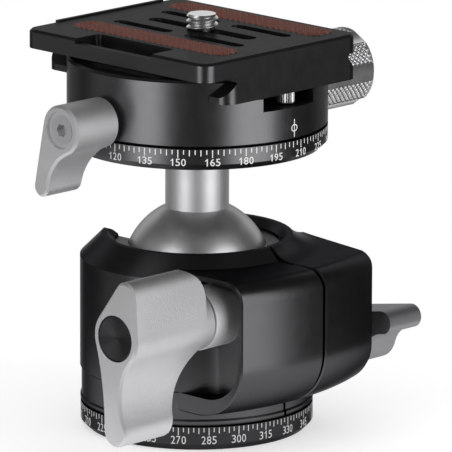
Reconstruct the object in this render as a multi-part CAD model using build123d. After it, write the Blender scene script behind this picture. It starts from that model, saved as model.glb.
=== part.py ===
from build123d import *
from math import acos, atan2, ceil, cos, degrees, hypot, pi, radians, sin, sqrt, tan
import os

# Tripod ball head with a panning quick-release clamp and a camera plate.
# Frame: millimetres, +Z up, origin at the centre of the base's underside.
# +X points to the split side of the housing, -Y to the main knob, +Y to the jaw knob.

# ---------------------------------------------------------------- driving sizes

# The three round sizes that everything else is built round
BALL_D = 30.0
BODY_D = 47.0
CLAMP_D = 52.2

# Clearances shared by all fits, and the overrun of cutting bodies
RUN_FIT = 0.05          # radial, shaft in its own bore
FREE_FIT = 0.2          # radial, shaft through a clearance hole
FACE_GAP = 0.3          # axial, between turned faces that move past each other
BALL_FIT = 0.08         # ball to its seat and liner
OVER = 5.0

# Heights of the stack
BASE_H = 4.9
BALL_Z = 31.15
RIM_RISE = 7.95         # housing rim above the ball's centre
SCALE_RISE = 26.45      # underside of the upper scale ring above the ball's centre
SCALE_H = 4.4
CLAMP_FLOOR_RISE = 9.35 # dovetail floor above the upper scale ring
PLATE_H = 9.1

# Base and pan bearing
BASE_R = BODY_D / 2 - 0.1
BASE_LIP = 1.3          # rounded lower edge
BUSH_R = 7.5
BUSH_BORE_R = 4.7625    # 3/8"-16 tripod thread, major radius
SPIGOT_NECK_R = 11.0
SPIGOT_FLANGE_R = 15.0
SPIGOT_FLANGE_H = 3.0
SPIGOT_BEVEL = 1.5
WASHER_H = 0.3
RETAINER_R = 19.0
RETAINER_H = 2.7
BASE_WEB_H = 1.5
BASE_SCREW_COUNT = 3
BASE_SCREW_PCR = 9.3
BASE_SCREW_R = 1.0
BASE_SCREW_HEAD_R = 1.6

# Housing
RIM_R = 18.0
RIM_LAND = 1.2
BLOCK_HALF_W = 18.9     # half width of the clamp block along Y
BLOCK_REACH = 34.15     # furthest X of the bowed outer face
BLOCK_BOW = 3.15        # how far the face falls back at its ends
BLOCK_TOP_DROP = 2.4    # flat top below the rim
BLOCK_TOP_FILLET = 4.0
BLOCK_BELLY_R = 12.0    # large radius under the block
BLOCK_FLAT_H = 12.4     # height of the bowed outer face
BLOCK_CORNER_R = 2.5
BLOCK_EDGE = 0.25
BOW_EASE = 0.05         # the plan's end stands this far outside the bowed face
SLIT_EDGE = 0.3
RAMP_X = 6.0            # start of the bevel at the back of the +Y jaw's flat top
FLARE_R = 8.0           # hollow between the +Y jaw's flat top and the rim's cone
NECK_STEP_Z = 11.9
NECK_STEP = 0.3
FOOT_FLARE_H = 1.3
SLIT_Y = 1.4
SLIT_W = 0.7
NOTCH_HALF_W = 7.0
EAR_R = 3.6             # rounded shoulders of the notch
SEAT_WALL = 1.5         # liner and seat cup thickness
LINER_BELOW = 8.0
LINER_ABOVE = 6.0
BALL_ROLL = 25.0        # degrees the ball may roll to either side
RECESS_DEPTH = 4.7
RECESS_LIP = 0.9
RECESS_LOW_Z = 12.0
RECESS_LOW_R = 8.5
RECESS_BLEND_R = 5.0

# Clamping axes
BOLT_WALL = 0.62        # between the ball's bore and the bolt's bore
BOLT_DROP = 2.55        # bolt's axis below the ball's centre
BOLT_R = 3.0
BOLT_REACH = 12.0       # bolt end past the slit
STUD_R = 2.5
PLUNGER_R = 1.8
PLUNGER_Y = 4.6
PLUNGER_LENGTH = 9.4

# Main knob
KNOB_STAND = 2.8        # hub's inner face above the block's side
KNOB_LENGTH = 21.8
KNOB_HUB_R = 5.95
KNOB_SHOULDER = 2.2
KNOB_LOBE = (2.6, 8.9, 2.75)
KNOB_TIP = (-0.2, -18.8, 3.1)
KNOB_WAIST_R = 12.5
KNOB_BACK_R = 60.0
KNOB_TIP_STEP = 9.0     # the lower tip's inner end stands back this far from the hub's
KNOB_TIP_ROUND = 2.5
KNOB_LOBE_ROUND = 7.0
KNOB_HOLLOW = 1.0       # depth of the hollow behind the lower wing
KNOB_EDGE = 0.5
COLLAR_R = 6.2
COLLAR_ROOM = 0.9
CAP_R = 4.65
CAP_SEAT_DEPTH = 3.0
BOLT_HEAD_R = 4.4
BOLT_HEAD_H = 4.0

# Pan lever
PAN_HUB_R = 5.4
PAN_LOBE = (9.9, 4.9, 2.35)
PAN_WAIST_R = 5.5
PAN_STAND = 0.58        # lever's inner face clear of the block's side
PAN_LENGTH = 9.6
SPACER_R = 4.2
SPOT_ROOM = 0.6         # spot face round the spacer

# Upper lever
UP_STUD_RISE = 3.7      # stud's axis above the clamp's underside
UP_HUB_R = 5.0
UP_LOBE = (-5.5, -12.2, 2.0)
UP_WAIST_R = 9.0
UP_INNER = 27.2
UP_LENGTH = 11.2
LEVER_DISH_R = 3.7
LEVER_DISH = 0.7
LEVER_HEAD_R = 2.8
LEVER_HEAD_H = 2.5
LEVER_HEX_R = 1.35

# Ball stem and upper pan bearing
NECK_R = 6.4
NECK_SOCKET = 6.0       # neck starts this far above the ball's centre
CARRIER_R = 3.0
CARRIER_DROP = 9.0
BOSS_R = 9.5
BOSS_H = 5.6
SPINDLE_R = 5.0
WEB_H = 1.4
DISC_R = 7.2
DISC_H = 1.5
DISC_SCREW_R = 2.0
SHOE_HALF_W = 3.0       # brake shoe between the upper stud and the boss
SHOE_T = 4.0
POCKET_HALF_W = 7.1
POCKET_START = 16.0
POCKET_DEPTH = 2.6

# Dovetail, shared by plate and jaws
LAYOUT_Y = 1.8          # centre line of the dovetail, the slots and the camera screw
FOOT_HALF_W = 18.8
FOOT_TOE_H = 1.3
DOVETAIL = 3.0
FLANGE_H = 3.8
JAW_DROP = 1.0          # jaws' tops below the flange
JAW_LAND = 0.3          # blunt edge of each jaw's hook
JAW_FIT = 0.05
JAW_GAP = 0.1
JAW_PART_Y = 15.5
JAW_DEPTH = 6.75        # moving jaw's foot below the dovetail floor

# Jaw knob
JAW_SCREW_DROP = 4.55   # screw's axis below the dovetail floor
JAW_SCREW_R = 2.5
JAW_SCREW_END = 10.8
JAW_KNOB_R = 8.0
JAW_KNOB_START = 27.6
JAW_KNOB_LENGTH = 16.3
JAW_KNOB_SEAT = 4.0     # screw's end below the knob's face
JAW_KNOB_EDGE = 0.8
JAW_CAP_R = 4.2
JAW_CAP_DEPTH = 2.4
JAW_WASHER_R = 5.2
JAW_KNOB_FLUTES = 6
FLUTE_R = 5.0
FLUTE_DEPTH = 0.55
PIN_X = 12.5
PIN_R = 1.5
PIN_REACH = 5.0         # on both sides of the parting
SPRING_X = 8.0
SPRING_R = 1.6
SPRING_WIRE = 0.5
SPRING_H = 3.0
SPRING_COILS = 4

# Plate
PLATE_X = -0.5          # middle of the plate; sizes along X count from here
PLATE_HALF_L = 25.3
PLATE_NEAR_Y = -23.1
PLATE_CORNER_R = 2.7
PLATE_EDGE = 0.5
SLOT_PITCH_Y = 6.7
SLOT_HALF_W = 1.35
SIDE_SLOT_CENTRE_X = 9.9
SIDE_SLOT_HALF_L = 7.8
LONG_SLOT_HALF_L = 14.4
LONG_SLOT_HALF_W = 1.7
PAD_W = 6.8
PAD_HALF_L = 21.05
PAD_OFFSET = 13.45
PAD_SHIFT = 0.2         # middle of the two pads from the slots' centre line
PAD_CORNER_R = 2.6
PAD_SEAT = 0.6
PAD_PROUD = 0.3
PAD_FIT = 0.05
LIP_RISE = 0.3          # anti-twist lip along the -X edge
LIP_T = 0.8
LIP_PROUD = 0.3
LIP_ROOT = 2.0
LIP_Y0, LIP_Y1 = -14.0, 15.8
STRAP_X0, STRAP_X1 = -10.9, 10.4
STRAP_IN_Y = -16.4
STRAP_BAR_T = 1.5
STRAP_BAR_DROP = 1.0
STRAP_CORNER_R = 1.0
FOOT_CORNER_R = 2.7
CAMERA_R = 3.175        # 1/4"-20 camera thread, major radius
CAMERA_RISE = 3.1
CAMERA_HEAD_R = 4.6
CAMERA_HEAD_H = 2.5
CAMERA_TIP = 0.5
CLIP_T = 0.6            # nylon washer that keeps the camera screw captive
SCREW_ROOM = 0.3
SCREW_POCKET_H = 5.2    # pocket under the long slot, for the camera screw's head
STOP_LENGTH = 6.0
STOP_INSET = 2.2        # from the plate's end
STOP_R = 1.4
STOP_HEAD_R = 1.85
STOP_DROP = 2.3

# ---------------------------------------------------------------- derived sizes

BODY_R = BODY_D / 2
BALL_R = BALL_D / 2
CLAMP_R = CLAMP_D / 2
HOUSING_Z0 = BASE_H + FACE_GAP
RETAINER_Z0 = HOUSING_Z0 + 0.4
FLANGE_Z0 = RETAINER_Z0 + RETAINER_H + WASHER_H
FLANGE_Z1 = FLANGE_Z0 + SPIGOT_FLANGE_H
CEILING_Z = FLANGE_Z1 + WASHER_H + 0.05
RIM_Z = BALL_Z + RIM_RISE
BLOCK_TOP_Z = RIM_Z - BLOCK_TOP_DROP
RIM_CONE_Z = RIM_Z - (BODY_R - RIM_R - RIM_LAND)
BORE_R = BALL_R + BALL_FIT + SEAT_WALL
CUP_HALF_ANGLE = degrees(acos(LINER_BELOW / (BALL_R + BALL_FIT)) - FACE_GAP / BALL_R) - BALL_ROLL
SCALE_Z0 = BALL_Z + SCALE_RISE
SCALE_Z1 = SCALE_Z0 + SCALE_H
CLAMP_Z0 = SCALE_Z1 + FACE_GAP
CHANNEL_Z = SCALE_Z1 + CLAMP_FLOOR_RISE
UP_STUD_Z = CLAMP_Z0 + UP_STUD_RISE
JAW_SCREW_Z = CHANNEL_Z - JAW_SCREW_DROP
JAW_BOTTOM_Z = CHANNEL_Z - JAW_DEPTH
BOSS_Z1 = SCALE_Z1 + BOSS_H
WEB_Z0 = BOSS_Z1 + 0.2
WEB_Z1 = WEB_Z0 + WEB_H
PLATE_Z0 = CHANNEL_Z + 0.05
PLATE_Z1 = PLATE_Z0 + PLATE_H
TOE_Z = PLATE_Z0 + FOOT_TOE_H
THROAT_Z = TOE_Z + DOVETAIL
THROAT_HALF_W = FOOT_HALF_W - DOVETAIL
FLANGE_Z = PLATE_Z1 - FLANGE_H
POCKET_TOP_Z = PLATE_Z0 + SCREW_POCKET_H
JAW_TOP_Z = FLANGE_Z - JAW_DROP
PLATE_FAR_Y = LAYOUT_Y + FOOT_HALF_W
JAW_KNOB_END = JAW_KNOB_START + JAW_KNOB_LENGTH

# The block's +Y side is the tangent from its outer corner to the round body
BLOCK_END_X = BLOCK_REACH - BLOCK_BOW
BLOCK_LOW_Z = BLOCK_TOP_Z - BLOCK_TOP_FILLET - BLOCK_FLAT_H - BLOCK_BELLY_R
TOUCH = atan2(BLOCK_HALF_W, BLOCK_END_X) + acos(BODY_R / hypot(BLOCK_END_X, BLOCK_HALF_W))
TOUCH_X, TOUCH_Y = BODY_R * cos(TOUCH), BODY_R * sin(TOUCH)


def side_y(x):
    """Y of the block's +Y side at a given X."""
    return BLOCK_HALF_W + (BLOCK_END_X - x) * (TOUCH_Y - BLOCK_HALF_W) / (BLOCK_END_X - TOUCH_X)


def flank(x):
    """Half width of the round body at a given X."""
    return sqrt(max(BODY_R ** 2 - x ** 2, 0))


BOLT_X = BORE_R + BOLT_R + FREE_FIT + BOLT_WALL
BOLT_Z = BALL_Z - BOLT_DROP
PAN_Z = FLANGE_Z1 + BOLT_X - SPIGOT_FLANGE_R    # the plunger's axis meets the bevel at 45 degrees
KNOB_INNER = max(BLOCK_HALF_W, flank(BOLT_X - KNOB_HUB_R)) + KNOB_STAND
KNOB_FACE = KNOB_INNER + KNOB_LENGTH
PAN_INNER = side_y(BOLT_X - PAN_HUB_R) + PAN_STAND

# Outline plane: local x is +X, local y is +Z, and it is extruded towards -Y
FRONT = dict(x_dir=(1, 0, 0), z_dir=(0, -1, 0))
# Side plane: local x is +Y, local y is +Z, and it is extruded towards +X
SIDE = Plane(origin=(0, 0, 0), x_dir=(0, 1, 0), z_dir=(1, 0, 0))


# ---------------------------------------------------------------- helpers

def disc(radius, z0, z1, x=0.0, y=0.0):
    """Upright cylinder from z0 to z1."""
    return Pos(x, y, (z0 + z1) / 2) * Cylinder(radius, z1 - z0)


def ring(outer, inner, z0, z1):
    """Upright ring from z0 to z1."""
    return disc(outer, z0, z1) - disc(inner, z0 - 1, z1 + 1)


def rod_y(radius, y0, y1, x=0.0, z=0.0):
    """Cylinder along Y."""
    return Pos(x, (y0 + y1) / 2, z) * Rot(90, 0, 0) * Cylinder(radius, y1 - y0)


def block(x0, x1, y0, y1, z0, z1):
    """Box between six planes."""
    return Pos((x0 + x1) / 2, (y0 + y1) / 2, (z0 + z1) / 2) * Box(x1 - x0, y1 - y0, z1 - z0)


def turned(points):
    """Solid of revolution about Z from (radius, z) points."""
    outline = Polyline([(r, 0, z) for r, z in points], close=True)
    return revolve(make_face(outline), Axis.Z)


def prism_x(points, x0, x1):
    """Straight bar along X from (y, z) points."""
    plane = Plane(origin=(x0, 0, 0), x_dir=(0, 1, 0), z_dir=(1, 0, 0))
    face = plane * make_face(Polyline([*points], close=True))
    return extrude(face, x1 - x0)


def polar(centre, radius, angle):
    """Point at an angle (radians) on a circle."""
    return (centre[0] + radius * cos(angle), centre[1] + radius * sin(angle))


def bridge_ends(a, b, hollow):
    """Tangent points of the bridge from circle a to circle b, and its mid point if it is hollow.

    A straight bridge is the outer tangent line. A hollow one is an arc of radius `hollow` that
    touches both circles from outside. Circles are (x, y, r), met counter-clockwise."""
    span = hypot(b[0] - a[0], b[1] - a[1])
    heading = atan2(b[1] - a[1], b[0] - a[0])
    if not hollow:
        normal = heading - acos((a[2] - b[2]) / span)
        return polar(a, a[2], normal), polar(b, b[2], normal), None
    from_a, from_b = a[2] + hollow, b[2] + hollow
    corner = acos((from_a ** 2 + span ** 2 - from_b ** 2) / (2 * from_a * span))
    centre = polar(a, from_a, heading - corner)
    start = polar(a, a[2], atan2(centre[1] - a[1], centre[0] - a[0]))
    end = polar(b, b[2], atan2(centre[1] - b[1], centre[0] - b[0]))
    middle = ((start[0] + end[0]) / 2, (start[1] + end[1]) / 2)
    inward = atan2(middle[1] - centre[1], middle[0] - centre[0])
    return start, end, polar(centre, hollow, inward)


def lobed_face(circles, bridges):
    """Face of a lever: circles (x, y, r) in counter-clockwise order, joined by bridges."""
    count = len(circles)
    spans = [bridge_ends(circles[i], circles[(i + 1) % count], bridges[i]) for i in range(count)]
    edges = []
    for i, circle in enumerate(circles):
        arrive, leave = spans[i - 1][1], spans[i][0]
        first = atan2(arrive[1] - circle[1], arrive[0] - circle[0])
        last = atan2(leave[1] - circle[1], leave[0] - circle[0])
        last += 2 * pi * ceil((first - last) / (2 * pi))
        edges.append(ThreePointArc(arrive, polar(circle, circle[2], (first + last) / 2), leave))
        start, end, middle = spans[i]
        edges.append(ThreePointArc(start, middle, end) if middle else Line(start, end))
    return make_face(Curve() + edges)


def lever_solid(face, hub_x, hub_z, outer_y, length, edge):
    """Lever extruded from its outer face towards the head, with bevelled edges on that face."""
    plane = Plane(origin=(hub_x, outer_y, hub_z), **FRONT)
    solid = extrude(plane * face, -length)
    rim = solid.faces().sort_by(Axis.Y)[0 if length > 0 else -1]
    return chamfer(rim.edges(), edge)


parts = {}


def keep(name, shape):
    """Store one sub-part under its node name."""
    parts[name] = shape


# ---------------------------------------------------------------- base and pan bearing

def base_screw_places():
    """Centres of the screws that hold the scale ring on the spigot."""
    step = 360 / BASE_SCREW_COUNT
    return [(BASE_SCREW_PCR * cos(radians(i * step)), BASE_SCREW_PCR * sin(radians(i * step)))
            for i in range(BASE_SCREW_COUNT)]


def countersunk(radius, head_r, z0, z1, x, y):
    """Countersunk screw with its head at z0, pointing up."""
    taper = head_r - radius
    profile = turned([(0, z0), (head_r, z0), (radius, z0 + taper), (radius, z1), (0, z1)])
    return Pos(x, y, 0) * profile


def base_ring():
    body = turned([(BUSH_R, 0), (BASE_R - BASE_LIP, 0), (BASE_R, BASE_LIP), (BASE_R, BASE_H),
                   (SPIGOT_NECK_R, BASE_H), (SPIGOT_NECK_R, BASE_WEB_H), (BUSH_R, BASE_WEB_H)])
    for x, y in base_screw_places():
        body -= countersunk(BASE_SCREW_R, BASE_SCREW_HEAD_R, 0, BASE_H, x, y)
    return body


def pan_spigot():
    body = turned([(BUSH_R, BASE_WEB_H), (SPIGOT_NECK_R, BASE_WEB_H), (SPIGOT_NECK_R, FLANGE_Z0),
                   (SPIGOT_FLANGE_R, FLANGE_Z0), (SPIGOT_FLANGE_R, FLANGE_Z1 - SPIGOT_BEVEL),
                   (SPIGOT_FLANGE_R - SPIGOT_BEVEL, FLANGE_Z1), (BUSH_R, FLANGE_Z1)])
    for x, y in base_screw_places():
        body -= disc(BASE_SCREW_R, 0, FLANGE_Z0, x, y)
    return body


def base_screws():
    return [countersunk(BASE_SCREW_R, BASE_SCREW_HEAD_R, 0, FLANGE_Z0, x, y)
            for x, y in base_screw_places()]


keep("base_ring", base_ring())
keep("base_bushing", ring(BUSH_R, BUSH_BORE_R, 0, FLANGE_Z1))
keep("pan_spigot", pan_spigot())
keep("base_screws", base_screws())
keep("pan_washer", ring(SPIGOT_NECK_R + 2, BUSH_R + 0.5, FLANGE_Z1, FLANGE_Z1 + WASHER_H))
keep("pan_retainer", ring(RETAINER_R, SPIGOT_NECK_R + FACE_GAP, RETAINER_Z0,
                          RETAINER_Z0 + RETAINER_H))
keep("pan_slip_ring", ring(SPIGOT_FLANGE_R - 0.5, SPIGOT_NECK_R + FACE_GAP,
                           RETAINER_Z0 + RETAINER_H, FLANGE_Z0 - 0.05))


# ---------------------------------------------------------------- split housing

def block_outline(inset, belly_r, low_z):
    """Side outline (x, z) of the clamp block, drawn inwards by `inset`."""
    reach, top = BLOCK_REACH - inset, BLOCK_TOP_Z - inset
    fillet_r = BLOCK_TOP_FILLET - inset
    shoulder = (reach - fillet_r, top - fillet_r)
    belly = (reach - belly_r, low_z + belly_r)
    edges = [
        Line((0, top), (shoulder[0], top)),
        ThreePointArc((shoulder[0], top), polar(shoulder, fillet_r, radians(45)), (reach, shoulder[1])),
        Line((reach, shoulder[1]), (reach, belly[1])),
        ThreePointArc((reach, belly[1]), polar(belly, belly_r, radians(-45)), (belly[0], low_z)),
        Line((belly[0], low_z), (0, low_z)),
        Line((0, low_z), (0, top)),
    ]
    return make_face(Curve() + edges)


def bowed_bar(outline):
    """Bar with the given side outline that follows the bow of the block's outer face."""
    bow_r = (BLOCK_HALF_W ** 2 + BLOCK_BOW ** 2) / (2 * BLOCK_BOW)
    axis_x = BLOCK_REACH - bow_r
    axis = Axis((axis_x, 0, 0), (0, 0, 1))
    half_turn = degrees(atan2(BODY_R, -axis_x)) + 2
    face = Plane(origin=(0, 0, 0), **FRONT) * outline
    return revolve(face.rotate(axis, -half_turn), axis, 2 * half_turn)


def block_plan():
    """Plan of the block: square end at -Y, rounded corner and tangent side at +Y."""
    end_x = BLOCK_END_X + BOW_EASE
    near, far = (end_x, -BLOCK_HALF_W), (end_x, BLOCK_HALF_W)
    edges = [
        Line((0, -BLOCK_HALF_W), near),
        ThreePointArc(near, (BLOCK_REACH + BOW_EASE, 0), far),
        Line(far, (TOUCH_X, TOUCH_Y)),
        Line((TOUCH_X, TOUCH_Y), (0, BLOCK_HALF_W)),
        Line((0, BLOCK_HALF_W), (0, -BLOCK_HALF_W)),
    ]
    plan = make_face(Curve() + edges)
    corner = plan.vertices().sort_by_distance((*far, 0))[0]
    return fillet(corner, BLOCK_CORNER_R)


def top_flare():
    """Hollow flare that leads from the block's flat top up to the rim's cone."""
    lean = radians(45)
    centre_z = BLOCK_TOP_Z + FLARE_R
    meet_r = BODY_R - (BLOCK_TOP_Z - RIM_CONE_Z)
    centre_r = meet_r + FLARE_R * tan(lean / 2)
    top = polar((centre_r, centre_z), FLARE_R, -3 * lean)
    middle = polar((centre_r, centre_z), FLARE_R, -2.5 * lean)
    inner = top[0] - 1
    edges = [
        ThreePointArc(top, middle, (centre_r, BLOCK_TOP_Z)),
        Line((centre_r, BLOCK_TOP_Z), (centre_r, BLOCK_TOP_Z - 1)),
        Line((centre_r, BLOCK_TOP_Z - 1), (inner, BLOCK_TOP_Z - 1)),
        Line((inner, BLOCK_TOP_Z - 1), (inner, top[1])),
        Line((inner, top[1]), top),
    ]
    face = Plane(origin=(0, 0, 0), **FRONT) * make_face(Curve() + edges)
    return revolve(face, Axis.Z)


def back_ramp():
    """Wedge that bevels the +Y jaw's flat top away towards the round body's back."""
    rise = BLOCK_TOP_Z - RIM_CONE_Z + 2
    low, high = RIM_CONE_Z, RIM_CONE_Z + rise
    wedge = [(-1, low), (RAMP_X, low), (RAMP_X + rise, high), (-1, high)]
    face = Plane(origin=(0, BODY_R + 1, 0), **FRONT) * make_face(Polyline(wedge, close=True))
    return extrude(face, BODY_R + 1)


def clamp_block():
    """The block's two jaws, one on either side of the slit."""
    plan = extrude(block_plan(), RIM_Z)
    bar = bowed_bar(block_outline(0, BLOCK_BELLY_R, BLOCK_LOW_Z)) & plan
    reach = BLOCK_REACH + 1
    near = bar & block(0, reach, -BODY_R, SLIT_Y - SLIT_W / 2, 0, RIM_Z)
    far_side = block(0, reach, SLIT_Y + SLIT_W / 2, BODY_R, 0, RIM_Z)
    far = bar & far_side
    near_faces = near.faces().filter_by(Axis.Y).sort_by(Axis.Y)
    near = chamfer(outer_edges(near_faces[-1]), SLIT_EDGE)
    end_face = near.faces().filter_by(Axis.Y).sort_by(Axis.Y)[0]
    near = chamfer(outer_edges(end_face), BLOCK_EDGE)
    far = chamfer(outer_edges(far.faces().filter_by(Axis.Y).sort_by(Axis.Y)[0]), SLIT_EDGE)
    far = far + (top_flare() & plan & far_side) - back_ramp()
    return near, far


def outer_edges(face):
    """Edges of an upright face that lie outside the round body."""
    return [edge for edge in face.edges() if edge.center().X > BODY_R]


def round_body():
    return turned([
        (0, HOUSING_Z0), (BODY_R - NECK_STEP, HOUSING_Z0), (BODY_R - NECK_STEP + 0.25, HOUSING_Z0 + 0.4),
        (BODY_R - NECK_STEP + 0.25, HOUSING_Z0 + FOOT_FLARE_H - 0.4),
        (BODY_R - NECK_STEP, HOUSING_Z0 + FOOT_FLARE_H), (BODY_R - NECK_STEP, NECK_STEP_Z),
        (BODY_R, NECK_STEP_Z + NECK_STEP), (BODY_R, RIM_CONE_Z), (RIM_R + RIM_LAND, RIM_Z), (0, RIM_Z)])


def ball_bore():
    """Bore for liner, cup and ball: a cone under the cup, and a bevelled mouth."""
    slope = tan(2 * atan2(LINER_BELOW, BORE_R))
    floor_r = BORE_R - (BORE_R - LINER_BELOW) * slope
    mouth_z = RIM_Z - (RIM_R - BORE_R)
    return turned([(0, BALL_Z - BORE_R), (floor_r, BALL_Z - BORE_R), (BORE_R, BALL_Z - LINER_BELOW),
                   (BORE_R, mouth_z), (RIM_R + 1, RIM_Z + 1), (0, RIM_Z + 1)])


def drop_notch(half_w):
    """U-shaped slot with rounded shoulders towards -X that lets the stem drop to level."""
    ear_z, wide, above = RIM_Z - EAR_R, half_w + EAR_R, RIM_Z + OVER
    near, far = (-wide, ear_z), (wide, ear_z)
    edges = [
        ThreePointArc((-wide, RIM_Z), polar(near, EAR_R, radians(45)), (-half_w, ear_z)),
        Line((-half_w, ear_z), (-half_w, BALL_Z)),
        ThreePointArc((-half_w, BALL_Z), (0, BALL_Z - half_w), (half_w, BALL_Z)),
        Line((half_w, BALL_Z), (half_w, ear_z)),
        ThreePointArc((half_w, ear_z), polar(far, EAR_R, radians(135)), (wide, RIM_Z)),
        Line((wide, RIM_Z), (wide, above)),
        Line((wide, above), (-wide, above)),
        Line((-wide, above), (-wide, RIM_Z)),
    ]
    return extrude(SIDE * make_face(Curve() + edges), -BODY_R - OVER)


def pan_cavity():
    """Stepped space under the housing for the spigot's flange and the retaining ring."""
    step_z = RETAINER_Z0 + RETAINER_H
    return disc(RETAINER_R, HOUSING_Z0 - 1, step_z) + disc(SPIGOT_FLANGE_R + 0.4, step_z - 1, CEILING_Z)


def plunger_blank(radius, length):
    """Cylinder at 45 degrees, from the pan stud down and in to the spigot's bevel."""
    return Pos(BOLT_X, PLUNGER_Y, PAN_Z) * Rot(0, -135, 0) * Pos(0, 0, length / 2) * Cylinder(radius, length)


def knob_recess():
    """Recess in the -Y side of the block that leaves a thin lip round the knob's collar."""
    floor_y = -BLOCK_HALF_W + RECESS_DEPTH
    bar = bowed_bar(block_outline(RECESS_LIP, RECESS_LOW_R, RECESS_LOW_Z))
    hollow = bar & block(0, BLOCK_REACH, -BLOCK_HALF_W - OVER, floor_y, 0, RIM_Z)
    return hollow - disc(BODY_R, 0, RIM_Z) - recess_blend(floor_y)


def recess_blend(floor_y):
    """Inside corner, rounded by RECESS_BLEND_R, between the round body and the recess's floor."""
    y = floor_y - RECESS_BLEND_R
    x = sqrt((BODY_R + RECESS_BLEND_R) ** 2 - y ** 2)
    share = BODY_R / (BODY_R + RECESS_BLEND_R)
    corner = block(x * share, x, y * share, floor_y, 0, RIM_Z)
    return corner - disc(RECESS_BLEND_R, -1, RIM_Z + 1, x, y)


def housing():
    near, far = clamp_block()
    body = round_body() + near + far
    body = body - ball_bore() - drop_notch(NOTCH_HALF_W) - pan_cavity() - knob_recess()
    body -= rod_y(COLLAR_R + COLLAR_ROOM, -BODY_R - OVER, -BLOCK_HALF_W + RECESS_DEPTH, BOLT_X, BOLT_Z)
    body -= rod_y(SPACER_R + SPOT_ROOM, BLOCK_HALF_W, BODY_R + OVER, BOLT_X, PAN_Z)
    slit_y0, slit_y1 = SLIT_Y - SLIT_W / 2, SLIT_Y + SLIT_W / 2
    body -= block(BORE_R - 3, BLOCK_REACH + OVER, slit_y0, slit_y1, HOUSING_Z0 - 1, RIM_Z + 1)
    body -= rod_y(BOLT_R + FREE_FIT, -BODY_R - OVER, SLIT_Y, BOLT_X, BOLT_Z)
    body -= rod_y(BOLT_R + RUN_FIT, SLIT_Y, SLIT_Y + BOLT_REACH + 1, BOLT_X, BOLT_Z)
    body -= rod_y(STUD_R + RUN_FIT, PLUNGER_Y - PLUNGER_R - 0.2, BODY_R + OVER, BOLT_X, PAN_Z)
    body -= plunger_blank(PLUNGER_R, PLUNGER_LENGTH + OVER)
    return body


def ball_liner():
    """Split liner that grips the ball round its middle."""
    band = disc(BORE_R, BALL_Z - LINER_BELOW, BALL_Z + LINER_ABOVE)
    band -= Pos(0, 0, BALL_Z) * Sphere(BALL_R + BALL_FIT)
    band -= drop_notch(NOTCH_HALF_W)
    return band - block(0, BODY_R, SLIT_Y - SLIT_W / 2, SLIT_Y + SLIT_W / 2, 0, RIM_Z)


def pan_plunger():
    """Brass pin that the stud's cone drives against the spigot's bevel."""
    flange = turned([(0, FLANGE_Z0 - 1), (SPIGOT_FLANGE_R, FLANGE_Z0 - 1),
                     (SPIGOT_FLANGE_R, FLANGE_Z1 - SPIGOT_BEVEL),
                     (SPIGOT_FLANGE_R - SPIGOT_BEVEL, FLANGE_Z1), (0, FLANGE_Z1)])
    pin = plunger_blank(PLUNGER_R, PLUNGER_LENGTH) - offset(flange, 0.06)
    pin -= pan_stud_solid(0.06)
    return pin.solids().sort_by(SortBy.VOLUME)[-1]


def pan_stud_solid(grow):
    """Stud with a conical point, along the pan lever's axis."""
    tip = PLUNGER_Y - PLUNGER_R
    radius = STUD_R + grow
    end = PAN_INNER + PAN_LENGTH - LEVER_DISH - LEVER_HEAD_H
    outline = [(0, tip), (0.6 + grow, tip), (radius, tip + STUD_R - 0.6), (radius, end), (0, end)]
    profile = make_face(Polyline([(r, 0, y) for r, y in outline], close=True))
    return Pos(BOLT_X, 0, PAN_Z) * Rot(-90, 0, 0) * revolve(profile, Axis.Z)


keep("housing", housing())
keep("ball_liner", ball_liner())
keep("knob_collar", rod_y(COLLAR_R, -KNOB_INNER + FACE_GAP, -BLOCK_HALF_W + RECESS_DEPTH, BOLT_X, BOLT_Z)
     - rod_y(BOLT_R + FREE_FIT, -BODY_R - OVER, 0, BOLT_X, BOLT_Z))
keep("pan_plunger", pan_plunger())


# ---------------------------------------------------------------- main knob

def knob_side_outline():
    """Side outline (y, z from the axis) of the knob: rounded shoulder above, hollow wing below."""
    top = KNOB_LOBE[1] + KNOB_LOBE[2] + KNOB_EDGE
    low = KNOB_TIP[1] - KNOB_TIP[2] - KNOB_EDGE
    back, tip = -KNOB_INNER - KNOB_SHOULDER, -KNOB_INNER - KNOB_TIP_STEP
    shoulder = (back - KNOB_LOBE_ROUND, top - KNOB_LOBE_ROUND)
    heel = (tip - KNOB_TIP_ROUND, low + KNOB_TIP_ROUND)
    root = (back, 1 - KNOB_HUB_R)
    wing = hypot(root[0] - tip, root[1] - heel[1])
    hollow = ((root[0] + tip) / 2 - KNOB_HOLLOW * (root[1] - heel[1]) / wing,
              (root[1] + heel[1]) / 2 + KNOB_HOLLOW * (root[0] - tip) / wing)
    edges = [
        Line((-KNOB_FACE, low), (-KNOB_FACE, top)),
        Line((-KNOB_FACE, top), (shoulder[0], top)),
        ThreePointArc((shoulder[0], top), polar(shoulder, KNOB_LOBE_ROUND, radians(45)), (back, shoulder[1])),
        Line((back, shoulder[1]), root),
        ThreePointArc(root, hollow, (tip, heel[1])),
        ThreePointArc((tip, heel[1]), polar(heel, KNOB_TIP_ROUND, radians(-45)), (heel[0], low)),
        Line((heel[0], low), (-KNOB_FACE, low)),
    ]
    return make_face(Curve() + edges)


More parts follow.
